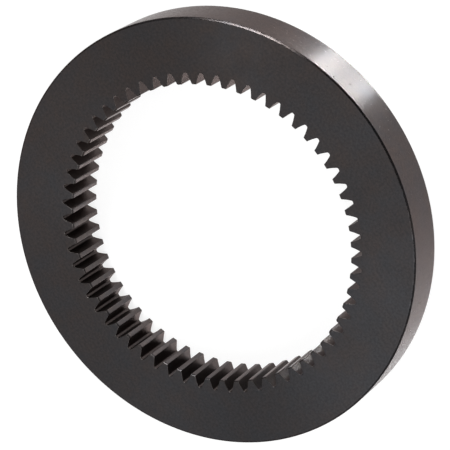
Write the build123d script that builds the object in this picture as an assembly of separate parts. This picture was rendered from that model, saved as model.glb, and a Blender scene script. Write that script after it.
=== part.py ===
from build123d import *
from math import acos, cos, pi, radians, sin, tan
import os

# Internal ring gear, one solid turned and shaped from a single steel ring.
# Millimetres and degrees. The ring lies flat: its axis is Z, its lower face is
# the plane Z = 0, and one tooth space is centred on the +X axis.

# Toothing
module = 3.0                # pitch diameter per tooth
teeth = 60
pressure_angle = 20.0
addendum = 3.0              # from the pitch circle in to the tooth tips
dedendum = 3.75             # from the pitch circle out to the bottom of a space
root_fillet = 1.0           # radius in each bottom corner of a space
fillet_share = 0.98         # most that the fillet may be, as a share of one that rounds the whole bottom
backlash_allowance = 0.25   # how much wider a space is than a tooth, on the pitch circle
flank_points = 7            # points on the involute that each flank curve passes through

# Ring
rim_wall = 31.25            # solid steel from the bottom of a space out to the rim
face_width = 28.5
rim_chamfer = 1.0           # 45 degree chamfer round both outer edges
bore_chamfer = 0.8          # 45 degree chamfer round both bore edges, across the tooth tips
cut_overlap = 1.0           # how far the cutting shape passes beyond the faces and the tips

pitch_radius = module * teeth / 2
base_radius = pitch_radius * cos(radians(pressure_angle))
tip_radius = pitch_radius - addendum
root_radius = pitch_radius + dedendum
outer_radius = root_radius + rim_wall


def involute(angle):
    """The involute function of an angle in radians."""
    return tan(angle) - angle


def flank_angle(radius):
    """Angle between an involute's tangent and the radius, where it meets that radius."""
    return acos(min(1.0, base_radius / radius))


def space_half_angle(radius):
    """Half of the angle that a tooth space takes up, seen from the axis, at a radius."""
    on_pitch = pi / (2 * teeth) + backlash_allowance / (4 * pitch_radius)
    return on_pitch + involute(radians(pressure_angle)) - involute(flank_angle(radius))


def polar(radius, angle):
    """The flat point at a radius from the axis and an angle from +X."""
    return (radius * cos(angle), radius * sin(angle))


def flank(side):
    """One flank of a space as a curve from the tooth tip outwards, on side -1 or +1 of +X."""
    start = max(tip_radius - cut_overlap, base_radius)
    step = (root_radius - start) / (flank_points - 1)
    radii = [start + step * point for point in range(flank_points)]
    return Spline(*[polar(radius, side * space_half_angle(radius)) for radius in radii])


def space_outline():
    """The closed outline of one tooth space, with its two bottom corners rounded."""
    lower = flank(-1)
    upper = flank(+1)
    bottom = ThreePointArc(lower @ 1, (root_radius, 0), upper @ 1)
    mouth_x = tip_radius - cut_overlap
    mouth = Polyline(upper @ 0, (mouth_x, (upper @ 0).Y), (mouth_x, (lower @ 0).Y), lower @ 0)
    outline = make_face(lower + bottom + upper + mouth)
    half_bottom = root_radius * space_half_angle(root_radius)
    half_corner = pi / 4 + flank_angle(root_radius) / 2
    largest_fillet = fillet_share * half_bottom * tan(half_corner)
    bottom_corners = outline.vertices().group_by(Axis.X)[-1]
    return fillet(bottom_corners, min(root_fillet, largest_fillet))


def blank():
    """The turned ring before its teeth are cut, with its four chamfered edges."""
    section = Polyline(
        (tip_radius + bore_chamfer, 0),
        (outer_radius - rim_chamfer, 0),
        (outer_radius, rim_chamfer),
        (outer_radius, face_width - rim_chamfer),
        (outer_radius - rim_chamfer, face_width),
        (tip_radius + bore_chamfer, face_width),
        (tip_radius, face_width - bore_chamfer),
        (tip_radius, bore_chamfer),
        close=True,
    )
    return revolve(Plane.XZ * make_face(section), Axis.Z)


def ring_gear():
    """The blank with a tooth space cut right through it at each pitch."""
    cutter = extrude(Pos(0, 0, -cut_overlap) * space_outline(), face_width + 2 * cut_overlap)
    spaces = [place * cutter for place in PolarLocations(0, teeth)]
    return blank() - spaces


gear = ring_gear()
gear.label = "ring_gear"
os.makedirs("parts", exist_ok=True)
export_step(gear, "parts/ring_gear.step")
print("outside diameter", 2 * outer_radius, "tip circle", 2 * tip_radius, "volume", gear.volume)
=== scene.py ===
from collections import namedtuple
from math import acos, atan, cos, hypot, pi, radians, sin, sqrt, tan

import bpy
from mathutils import Matrix, Vector

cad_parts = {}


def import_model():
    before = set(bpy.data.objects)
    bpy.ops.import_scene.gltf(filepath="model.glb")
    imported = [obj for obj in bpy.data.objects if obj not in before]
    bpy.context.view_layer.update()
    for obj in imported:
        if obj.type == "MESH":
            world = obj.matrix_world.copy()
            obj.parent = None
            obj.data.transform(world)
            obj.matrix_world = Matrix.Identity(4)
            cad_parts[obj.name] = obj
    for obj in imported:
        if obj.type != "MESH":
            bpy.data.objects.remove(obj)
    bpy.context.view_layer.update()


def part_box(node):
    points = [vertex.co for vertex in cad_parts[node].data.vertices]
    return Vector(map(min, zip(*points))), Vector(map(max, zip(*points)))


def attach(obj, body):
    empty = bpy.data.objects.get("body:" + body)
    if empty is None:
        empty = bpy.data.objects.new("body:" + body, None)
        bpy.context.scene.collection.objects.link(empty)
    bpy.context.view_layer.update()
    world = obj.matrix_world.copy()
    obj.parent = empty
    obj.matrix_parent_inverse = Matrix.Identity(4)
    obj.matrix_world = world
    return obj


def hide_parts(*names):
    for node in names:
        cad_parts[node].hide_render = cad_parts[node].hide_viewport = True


# Internal ring gear in black oxide finish, lying flat on a pale floor.
# Metres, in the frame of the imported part: its axis is Z, its lower face is Z = 0, and one tooth space
# is centred on +X.

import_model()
scene = bpy.context.scene

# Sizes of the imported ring
node = "ring_gear"
low_corner, high_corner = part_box(node)
outer_radius = high_corner.x
face_width = high_corner.z - low_corner.z

# Toothing, as in the part
module = 0.003
teeth = 60
pressure_angle = radians(20)
addendum = module
dedendum = 0.00375
root_fillet = 0.001
backlash_allowance = 0.00025
rim_chamfer = 0.001
bore_chamfer = 0.0008

# Fine form that only the surface has
edge_break = 0.00012                # rounding of the edges between the faces and the tooth spaces
tip_break = 0.0002                  # rounding of the long edges of each tooth tip
chamfer_break = 0.0001              # rounding of the edges of the rim chamfers
face_seam = 0.0012                  # from the bottoms of the spaces out to the first circle of face points
wall_top = 1.15 * edge_break        # depth at which a space's wall starts, just past the broken edge
land_reach = 1.5 * tip_break        # how far out from the tip circle the surface counts as a tooth tip
sharpest_corner = 0.6               # least cosine of half a corner's turn that a shifted outline allows for
sharp_edge = radians(50)            # an edge that turns further is shaded as a sharp one

# Steps along the outline of half a pitch
bottom_steps = 2
fillet_steps = 5
flank_steps = 5
chamfered_flank_steps = 2
land_steps = 2

pitch_radius = module * teeth / 2
base_radius = pitch_radius * cos(pressure_angle)
tip_radius = pitch_radius - addendum
root_radius = pitch_radius + dedendum

# Camera, looking down on the ring, with the picture turned as the photograph is
picture_pixels = 450
focal_pixels = 2452.8               # focal length, in pixels of that picture
sensor_width = 36.0                 # millimetres, as Blender counts it
camera_azimuth = 0.23               # degrees, as direction() counts them
camera_elevation = 57.461           # degrees
camera_roll = 124.155               # degrees that the ring's axis leans left of upright in the picture
camera_distance = 1.3721            # from the middle of the ring's upper face
ring_left_of_centre = 0.009505      # that middle's place in the picture, in metres at its distance
ring_below_centre = 0.005760


# Outline of the teeth

def involute(angle):
    """The involute function of an angle."""
    return tan(angle) - angle


def flank_angle(radius):
    """Angle between an involute's tangent and the radius, where it meets that radius."""
    return acos(min(1.0, base_radius / radius))


def space_half_angle(radius):
    """Half of the angle that a tooth space takes up, seen from the axis, at a radius."""
    on_pitch = pi / (2 * teeth) + backlash_allowance / (4 * pitch_radius)
    return on_pitch + involute(pressure_angle) - involute(flank_angle(radius))


def flat_point(radius, angle):
    """The point, seen from above, at a radius from the axis and an angle from +X."""
    return Vector((radius * cos(angle), radius * sin(angle)))


def between(start, end, steps):
    """Evenly spaced values after start, up to and with end."""
    return [start + (end - start) * (i + 1) / steps for i in range(steps)]


def half_pitch():
    """Polar points (radius, angle) from the middle of a space's bottom to the middle of a tooth tip."""
    # A circle that touches a flank from inside the space has its centre on the same involute, turned
    # by the circle's radius over the base radius.
    centre_radius = root_radius - root_fillet
    centre_angle = space_half_angle(centre_radius) - root_fillet / base_radius
    centre = flat_point(centre_radius, centre_angle)
    flank_end = base_radius * hypot(1, tan(flank_angle(centre_radius)) + root_fillet / base_radius)
    to_flank = flat_point(flank_end, space_half_angle(flank_end)) - centre
    end_turn = -Vector((1, 0)).angle_signed(to_flank)

    points = [(root_radius, 0.0)]
    points += [(root_radius, angle) for angle in between(0.0, centre_angle, bottom_steps)]
    for turn in between(centre_angle, end_turn, fillet_steps):
        x = centre.x + root_fillet * cos(turn)
        y = centre.y + root_fillet * sin(turn)
        points.append((hypot(x, y), atan(y / x)))
    chamfer_end = tip_radius + bore_chamfer
    radii = between(flank_end, chamfer_end, flank_steps)
    radii += between(chamfer_end, tip_radius + tip_break, chamfered_flank_steps)
    points += [(radius, space_half_angle(radius)) for radius in radii]
    land_start = space_half_angle(tip_radius) + tip_break / tip_radius
    points.append((tip_radius, land_start))
    points += [(tip_radius, angle) for angle in between(land_start, pi / teeth, land_steps)]
    return points


def whole_outline():
    """Polar points of the whole toothed outline, with angles that only grow."""
    half = half_pitch()
    mirrored = [(radius, -angle) for radius, angle in reversed(half[1:])]
    pitch = (mirrored + half)[:-1]
    step = 2 * pi / teeth
    return [(radius, angle + step * tooth) for tooth in range(teeth) for radius, angle in pitch]


def clipped(outline, smallest):
    """The outline as points seen from above, with none nearer to the axis than a radius."""
    return [flat_point(max(radius, smallest), angle) for radius, angle in outline]


def shifted(points, distance):
    """Points moved away from the hollow side of their outline, square to it."""
    moved = []
    for i, point in enumerate(points):
        before = (point - points[i - 1]).normalized()
        after = (points[(i + 1) % len(points)] - point).normalized()
        along = (before + after).normalized()
        square = Vector((along.y, -along.x))
        moved.append(point + square * distance / max(sharpest_corner, along.dot(after)))
    return moved


# The ring's surface, one grid of quads that closes on itself both ways

face_zone, rim_zone, tooth_zone, chamfer_zone, land_zone = range(5)

# A row of points right round the ring: the points seen from above, their depths below the upper face,
# how worn the row is, and the zones of the quads between it and the next row
Row = namedtuple("Row", "points depths wear zones")


def zones_inside(outline, limit, zone):
    """A zone for the stretches of the outline that lie nearer to the axis than a limit, and the teeth's
    for the others."""
    following = outline[1:] + outline[:1]
    reach = [max(start[0], end[0]) for start, end in zip(outline, following)]
    return [zone if radius < limit else tooth_zone for radius in reach]


def rows_from_top(outline):
    """Rows from the top of the bore's wall, over the upper face and a quarter of the way down the rim."""
    count = len(outline)
    cone = tip_radius + bore_chamfer
    wall_depths = [max(cone - radius, wall_top) for radius, angle in outline]
    lip = edge_break * (1 - sqrt(0.5))          # depth of the middle of the rounding
    rows = [
        Row(clipped(outline, 0.0), wall_depths, 0.35, zones_inside(outline, cone, chamfer_zone)),
        Row(clipped(outline, cone - edge_break), [edge_break] * count, 0.6, [tooth_zone] * count),
        Row(shifted(clipped(outline, cone - lip), lip), [lip] * count, 1.0, [tooth_zone] * count),
        Row(shifted(clipped(outline, cone), edge_break), [0.0] * count, 0.65, [face_zone] * count),
    ]
    chamfer_start = outer_radius - rim_chamfer
    seat = chamfer_break * sqrt(0.5)            # a break's length along the chamfer, seen from above
    circles = [
        (root_radius + face_seam, 0.0, 0.0, face_zone),
        ((root_radius + chamfer_start) / 2, 0.0, 0.0, face_zone),
        (chamfer_start - chamfer_break, 0.0, 0.1, chamfer_zone),
        (chamfer_start + seat, seat, 0.25, chamfer_zone),
        (outer_radius - seat, rim_chamfer - seat, 0.25, chamfer_zone),
        (outer_radius, rim_chamfer + chamfer_break, 0.1, rim_zone),
        (outer_radius, face_width / 4, 0.0, rim_zone),
    ]
    for radius, depth, wear, zone in circles:
        rows.append(Row(clipped(outline, radius), [depth] * count, wear, [zone] * count))
    return rows


def ring_mesh():
    """The ring as a mesh, with zones for its materials and a wear value at each point."""
    outline = whole_outline()
    count = len(outline)
    upper = rows_from_top(outline)
    lower = upper[::-1]
    points = [(p.x, p.y, face_width - depth) for row in upper for p, depth in zip(row.points, row.depths)]
    points += [(p.x, p.y, depth) for row in lower for p, depth in zip(row.points, row.depths)]
    wear = [row.wear for row in upper + lower for point in row.points]

    bore_zones = zones_inside(outline, tip_radius + land_reach, land_zone)
    strips = [row.zones for row in upper + lower[1:]] + [bore_zones]
    zones = [zone for strip in strips for zone in strip]

    def corner(row, column):
        return row % len(strips) * count + column % count

    faces = [
        (corner(row, i), corner(row + 1, i), corner(row + 1, i + 1), corner(row, i + 1))
        for row in range(len(strips)) for i in range(count)
    ]
    mesh = bpy.data.meshes.new("ring_gear_surface")
    mesh.from_pydata(points, [], faces)
    mesh.polygons.foreach_set("material_index", zones)
    mesh.attributes.new("wear", "FLOAT", "POINT").data.foreach_set("value", wear)
    mesh.shade_smooth()
    mesh.set_sharp_from_angle(angle=sharp_edge)
    mesh.update()
    return mesh


# Materials

noise_low, noise_high = 0.3, 0.7    # most values of a noise lie between these


class Nodes:
    """A node tree, emptied and then built one node a call."""

    def __init__(self, tree):
        self.tree = tree
        self.tree.nodes.clear()

    def add(self, kind, *values, out=0, settings=None, **named):
        """A node of a kind, with its sockets set or linked in order or by name, where None leaves a socket
        as it is. It gives the node's first output, or the one asked for."""
        made = self.tree.nodes.new("ShaderNode" + kind)
        for key, value in (settings or {}).items():
            setattr(made, key, value)
        sockets = list(zip(made.inputs, values))
        sockets += [(made.inputs[key.replace("_", " ")], value) for key, value in named.items()]
        for socket, value in sockets:
            if isinstance(value, bpy.types.NodeSocket):
                self.tree.links.new(value, socket)
            elif value is not None:
                socket.default_value = value
        return made.outputs[out] if len(made.outputs) else made

    def math(self, operation, *values):
        return self.add("Math", *values, settings={"operation": operation})

    def total(self, *parts):
        """The sum of values, each multiplied by its weight."""
        weighted = [self.math("MULTIPLY", value, weight) for value, weight in parts]
        result = weighted[0]
        for value in weighted[1:]:
            result = self.math("ADD", result, value)
        return result

    def noise(self, vector, scale, detail, roughness):
        """A noise whose scale is in waves a metre."""
        return self.add("TexNoise", Vector=vector, Scale=scale, Detail=detail, Roughness=roughness)

    def spread(self, value, low, high, to_low, to_high):
        """A value taken from one range to another and held inside it."""
        return self.add("MapRange", value, low, high, to_low, to_high)

    def vary(self, noise, to_low, to_high):
        """A noise taken to a range."""
        return self.spread(noise, noise_low, noise_high, to_low, to_high)

    def mix(self, share, first, second):
        """Two colours mixed. A Mix node keeps five sockets for other kinds of value before those two."""
        skipped = [None] * 5
        return self.add("Mix", share, *skipped, first, second, settings={"data_type": "RGBA"}, out=2)


def polar_place(nodes):
    """Place on the part as plain coordinates, then distance from the axis, angle round it and height."""
    plain = nodes.add("TexCoord", out="Object")
    x, y, z = nodes.add("SeparateXYZ", plain).node.outputs
    squares = nodes.math("ADD", nodes.math("MULTIPLY", x, x), nodes.math("MULTIPLY", y, y))
    radius = nodes.math("SQRT", squares)
    angle = nodes.math("ARCTAN2", y, x)
    return plain, radius, angle, z


# Colours, linear as the shader takes them
brown_black = (0.060, 0.0495, 0.0465)
blue_black = (0.050, 0.0495, 0.053)
bare_steel = (0.42, 0.40, 0.385)
grazing_tint = (1.0, 0.93, 0.92)    # of reflections at a grazing angle

# How the coat varies
speckle_shade = 0.55                # brightness of the speckle, as a share of the coat's
most_speckle = 0.45                 # how much of the coat's colour it takes over where it is strongest
drift = 0.25                        # how far the coat turns from cool to warm on each side of the middle
drift_reach = 0.12                  # along X, where it has turned so far
quarter_turn = 0.25                 # turns the stretch of reflections across the marks

# Metres that a radian round the axis counts as in a noise: few, so that its marks run far round the axis
face_turn = 0.00012
rim_turn = 0.0009
chamfer_turn = 0.0006
height_share = 0.025                # of a height in the teeth's noise, so that its marks run along the teeth


def shade(colour, share):
    """A colour with its brightness multiplied, as a socket takes it."""
    return tuple(level * share for level in colour) + (1,)


def oxide(nodes, plain, share, warmth):
    """The black coat's colour: faint warm and cool clouds, with a fine speckle over them."""
    x = nodes.add("SeparateXYZ", plain).node.outputs[0]
    across = nodes.spread(x, -drift_reach, drift_reach, drift - warmth, -drift - warmth)
    cloud = nodes.noise(plain, scale=55.0, detail=5.0, roughness=0.7)
    coolness = nodes.math("ADD", nodes.vary(cloud, 0.0, 1.0), across)
    coolness = nodes.spread(coolness, 0.0, 1.0, 0.0, 1.0)
    black = nodes.mix(coolness, shade(brown_black, share), shade(blue_black, share))
    dots = nodes.noise(plain, scale=700.0, detail=3.0, roughness=0.65)
    speckle = nodes.spread(dots, 0.36, 0.64, 0.0, most_speckle)
    return nodes.mix(speckle, black, shade(blue_black, share * speckle_shade))


def finish(nodes, plain, height, roughness, *, depth, stretch, share, edge, bare, warmth=0.0):
    """Black oxide over steel, as a dark metal. The coat is worn to bare steel where the wear value says,
    broken by a fine grain. Depth is how far the marks in the height stand out, stretch how much they draw
    a reflection out across them, share how bright the coat is, edge how bright it is at a grazing angle,
    bare how much steel shows at most, and warmth how far the coat leans to brown."""
    worn = nodes.add("Attribute", settings={"attribute_name": "wear"}, out="Fac")
    grain = nodes.noise(plain, scale=1400.0, detail=3.0, roughness=0.65)
    flecks = nodes.spread(grain, 0.42, 0.62, 0.0, bare)
    rubbed = nodes.math("MULTIPLY", nodes.spread(worn, 0.6, 0.95, 0.0, 1.0), flecks)
    colour = nodes.mix(rubbed, oxide(nodes, plain, share, warmth), shade(bare_steel, 1.0))
    bump = nodes.add("Bump", Strength=1.0, Distance=depth, Height=height)
    round_axis = nodes.add("Tangent", settings={"direction_type": "RADIAL", "axis": "Z"})
    shader = nodes.add(
        "BsdfPrincipled", Base_Color=colour, Metallic=1.0, Roughness=roughness,
        Specular_Tint=shade(grazing_tint, edge), Anisotropic=stretch,
        Anisotropic_Rotation=quarter_turn, Normal=bump, Tangent=round_axis,
    )
    nodes.add("OutputMaterial", shader)


def face_finish(nodes):
    """The two faces: faint turning marks round the axis, which spread reflections into fans."""
    plain, radius, angle, z = polar_place(nodes)
    turned = nodes.add("CombineXYZ", radius, nodes.math("MULTIPLY", angle, face_turn), z)
    marks = nodes.noise(turned, scale=2600.0, detail=2.0, roughness=0.6)
    broad = nodes.noise(turned, scale=320.0, detail=2.0, roughness=0.5)
    grain = nodes.noise(plain, scale=2200.0, detail=2.0, roughness=0.6)
    patches = nodes.noise(plain, scale=60.0, detail=3.0, roughness=0.6)
    height = nodes.total((marks, 0.6), (broad, 0.8), (grain, 0.5))
    finish(nodes, plain, height, nodes.vary(patches, 0.36, 0.46),
           depth=0.000016, stretch=0.7, share=1.42, edge=0.55, bare=0.25, warmth=-0.05)


def rim_finish(nodes):
    """The rim: fine turning marks round it, which spread a reflection up and down the wall."""
    plain, radius, angle, z = polar_place(nodes)
    turned = nodes.add("CombineXYZ", nodes.math("MULTIPLY", angle, rim_turn), radius, z)
    marks = nodes.noise(turned, scale=3000.0, detail=3.0, roughness=0.6)
    broad = nodes.noise(turned, scale=500.0, detail=2.0, roughness=0.5)
    grain = nodes.noise(plain, scale=420.0, detail=5.0, roughness=0.7)
    height = nodes.total((marks, 1.0), (grain, 0.4), (broad, 0.7))
    finish(nodes, plain, height, nodes.vary(grain, 0.15, 0.29),
           depth=0.000012, stretch=0.6, share=1.45, edge=0.65, bare=0.3, warmth=0.25)


def tooth_finish(nodes):
    """Tooth flanks and space bottoms: cutting marks along the teeth."""
    plain, radius, angle, z = polar_place(nodes)
    along = nodes.math("MULTIPLY", z, height_share)
    cut = nodes.add("CombineXYZ", nodes.math("MULTIPLY", angle, tip_radius), radius, along)
    marks = nodes.noise(cut, scale=3200.0, detail=2.0, roughness=0.6)
    grain = nodes.noise(plain, scale=1800.0, detail=2.0, roughness=0.6)
    finish(nodes, plain, nodes.total((marks, 1.0), (grain, 0.4)), nodes.vary(grain, 0.34, 0.44),
           depth=0.000010, stretch=0.0, share=1.05, edge=0.6, bare=0.35, warmth=0.5)


def chamfer_finish(nodes):
    """All the chamfers: smoother than the faces, with fine turning marks."""
    plain, radius, angle, z = polar_place(nodes)
    turned = nodes.add("CombineXYZ", radius, nodes.math("MULTIPLY", angle, chamfer_turn), z)
    marks = nodes.noise(turned, scale=4200.0, detail=2.0, roughness=0.5)
    grain = nodes.noise(plain, scale=1800.0, detail=2.0, roughness=0.6)
    finish(nodes, plain, marks, nodes.vary(grain, 0.25, 0.33),
           depth=0.000005, stretch=0.4, share=1.0, edge=0.35, bare=0.4)


def land_finish(nodes):
    """The tooth tips, left smooth by turning before the teeth were cut."""
    plain, radius, angle, z = polar_place(nodes)
    turned = nodes.add("CombineXYZ", nodes.math("MULTIPLY", angle, rim_turn), radius, z)
    marks = nodes.noise(turned, scale=1800.0, detail=2.0, roughness=0.5)
    grain = nodes.noise(plain, scale=900.0, detail=2.0, roughness=0.6)
    finish(nodes, plain, marks, nodes.vary(grain, 0.10, 0.17),
           depth=0.000004, stretch=0.3, share=1.5, edge=0.75, bare=0.35, warmth=0.2)


# In the order of the zones
finishes = {
    "oxide_face": face_finish,
    "oxide_rim": rim_finish,
    "oxide_teeth": tooth_finish,
    "oxide_chamfer": chamfer_finish,
    "oxide_land": land_finish,
}


def new_material(name, write):
    """A material whose nodes a function writes."""
    made = bpy.data.materials.new(name)
    made.use_nodes = True
    write(Nodes(made.node_tree))
    return made


def build_ring():
    """The ring with its finish, in place of the plain packed one."""
    mesh = ring_mesh()
    for name, write in finishes.items():
        mesh.materials.append(new_material(name, write))
    ring = bpy.data.objects.new("ring_gear_finish", mesh)
    scene.collection.objects.link(ring)
    # Large quads keep their flat shading, so that only the narrow ones along the edges look rounded
    weighted = ring.modifiers.new("even_normals", "WEIGHTED_NORMAL")
    weighted.mode = "FACE_AREA"
    weighted.weight = 100
    weighted.keep_sharp = True
    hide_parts(node)
    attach(ring, "root")
    return ring


# Studio

floor_size = 6.0
floor_gap = 0.0001                  # the floor lies this far below the ring's lower face
floor_albedo = 0.30
floor_white = 0.78                  # what the floor adds where a camera or a reflection sees it
bright_azimuth = 180                # middle of the world's bright side, high on the far side
bright_elevation = 57
dim_cosine = 0.25                   # of the angle from that middle, where the world's light is dimmest
bright_cosine = 0.95                # and where it is brightest
dim_side = 0.11                     # the world's light there
bright_side = 0.58
world_white = 1.0                   # what the camera sees of the world
cool_light = (0.82, 0.96, 1.0)      # colour of the light on the rim


def direction(azimuth, elevation):
    """A direction from the ring, in degrees, with azimuth 0 on the camera's side and 90 on +X."""
    azimuth, elevation = radians(azimuth), radians(elevation)
    return Vector((sin(azimuth) * cos(elevation), -cos(azimuth) * cos(elevation), sin(elevation)))


def seen_directly(nodes):
    """1 for camera, mirror and glass rays, and 0 for the rays that carry light onto the object."""
    path = nodes.add("LightPath").node
    first = nodes.math("MAXIMUM", path.outputs["Is Camera Ray"], path.outputs["Is Glossy Ray"])
    return nodes.math("MAXIMUM", first, path.outputs["Is Transmission Ray"])


def floor_finish(nodes):
    """Matt, and white where it is seen directly."""
    matt = nodes.add("BsdfDiffuse", (floor_albedo, floor_albedo, floor_albedo, 1))
    glow = nodes.add("Emission", (1, 1, 1, 1), nodes.math("MULTIPLY", seen_directly(nodes), floor_white))
    nodes.add("OutputMaterial", nodes.add("AddShader", matt, glow))


def floor():
    """A pale square floor, which takes the ring's shadow."""
    half = floor_size / 2
    mesh = bpy.data.meshes.new("floor")
    corners = [(-half, -half, 0), (half, -half, 0), (half, half, 0), (-half, half, 0)]
    mesh.from_pydata(corners, [], [(0, 1, 2, 3)])
    mesh.materials.append(new_material("pale_floor", floor_finish))
    made = bpy.data.objects.new("floor", mesh)
    made.location.z = -floor_gap
    scene.collection.objects.link(made)


def world():
    """A room that the camera sees as white, whose light comes mostly from high on the far side."""
    made = bpy.data.worlds.new("studio")
    made.use_nodes = True
    nodes = Nodes(made.node_tree)
    cosine = nodes.add(
        "VectorMath", nodes.add("TexCoord", out="Generated"), direction(bright_azimuth, bright_elevation),
        settings={"operation": "DOT_PRODUCT"}, out="Value",
    )
    light = nodes.spread(cosine, dim_cosine, bright_cosine, dim_side, bright_side)
    camera_ray = nodes.add("LightPath", out="Is Camera Ray")
    strength = nodes.add("Mix", camera_ray, None, light, world_white)
    background = nodes.add("Background", (1, 1, 1, 1), strength)
    nodes.add("OutputWorld", background)
    scene.world = made


def softbox(name, azimuth, elevation, *, distance, width, height, power, aim=(0, 0, 0), colour=(1, 1, 1),
            beam=180):
    """An area lamp that faces the point it aims at, with a beam as wide as an angle in degrees."""
    data = bpy.data.lights.new(name, "AREA")
    data.color = colour
    data.spread = radians(beam)
    data.shape = "RECTANGLE"
    data.size = width
    data.size_y = height
    data.energy = power
    lamp = bpy.data.objects.new(name, data)
    toward = direction(azimuth, elevation)
    lamp.location = Vector(aim) + toward * distance
    lamp.rotation_mode = "QUATERNION"
    lamp.rotation_quaternion = toward.to_track_quat("Z", "Y")
    scene.collection.objects.link(lamp)
    return lamp


def only_for(lamp, ring):
    """The lamp lights the ring alone, and nothing but the ring stands in its way."""
    group = bpy.data.collections.new(lamp.name + "_reach")
    group.objects.link(ring)
    lamp.light_linking.receiver_collection = group
    lamp.light_linking.blocker_collection = group


def lamps(ring):
    """Four boxes above the ring, and four below the floor that stand for the pale surroundings that a
    ring held upright reflects from below."""
    softbox("top_box", -70, 48, distance=1.6, width=1.2, height=0.7, power=12)
    softbox("back_box", -120, 39, distance=1.6, width=0.6, height=0.6, power=4)
    softbox("high_box", 5, 75, distance=1.6, width=0.5, height=0.5, power=3)
    softbox("key_box", 60, 26, distance=1.5, width=0.6, height=0.3, power=21)
    rim_point = direction(18, 0) * outer_radius
    side_point = direction(-60, 0) * outer_radius
    below = [
        softbox("bore_box", 46, -57, distance=1.2, width=0.3, height=0.5, power=8),
        softbox("bore_side", -96, -57, distance=1.2, width=0.9, height=0.4, power=32),
        softbox("rim_box", 30, -62, distance=0.4, width=0.07, height=0.17, power=0.7,
                aim=rim_point, colour=cool_light, beam=20),
        softbox("side_box", -124, -59, distance=0.4, width=0.24, height=0.2, power=0.9,
                aim=side_point, colour=cool_light, beam=60),
    ]
    for lamp in below:
        only_for(lamp, ring)


def camera():
    """A long lens above the ring, rolled so that the near wall lies at the upper right of the picture."""
    data = bpy.data.cameras.new("camera")
    data.sensor_width = sensor_width
    data.lens = sensor_width * focal_pixels / picture_pixels
    data.clip_start = 0.05
    data.clip_end = 20.0
    back = direction(camera_azimuth, camera_elevation)
    level = back.to_track_quat("Z", "Y").to_matrix()
    turned = level @ Matrix.Rotation(-radians(camera_roll), 3, "Z")
    right, up = turned.col[0], turned.col[1]
    place = Vector((0, 0, face_width)) + back * camera_distance
    place += right * ring_left_of_centre
    place += up * ring_below_centre
    made = bpy.data.objects.new("camera", data)
    made.location = place
    made.rotation_mode = "QUATERNION"
    made.rotation_quaternion = turned.to_quaternion()
    scene.collection.objects.link(made)
    scene.camera = made


camera()
ring = build_ring()
floor()
world()
lamps(ring)
scene.view_settings.view_transform = "Standard"
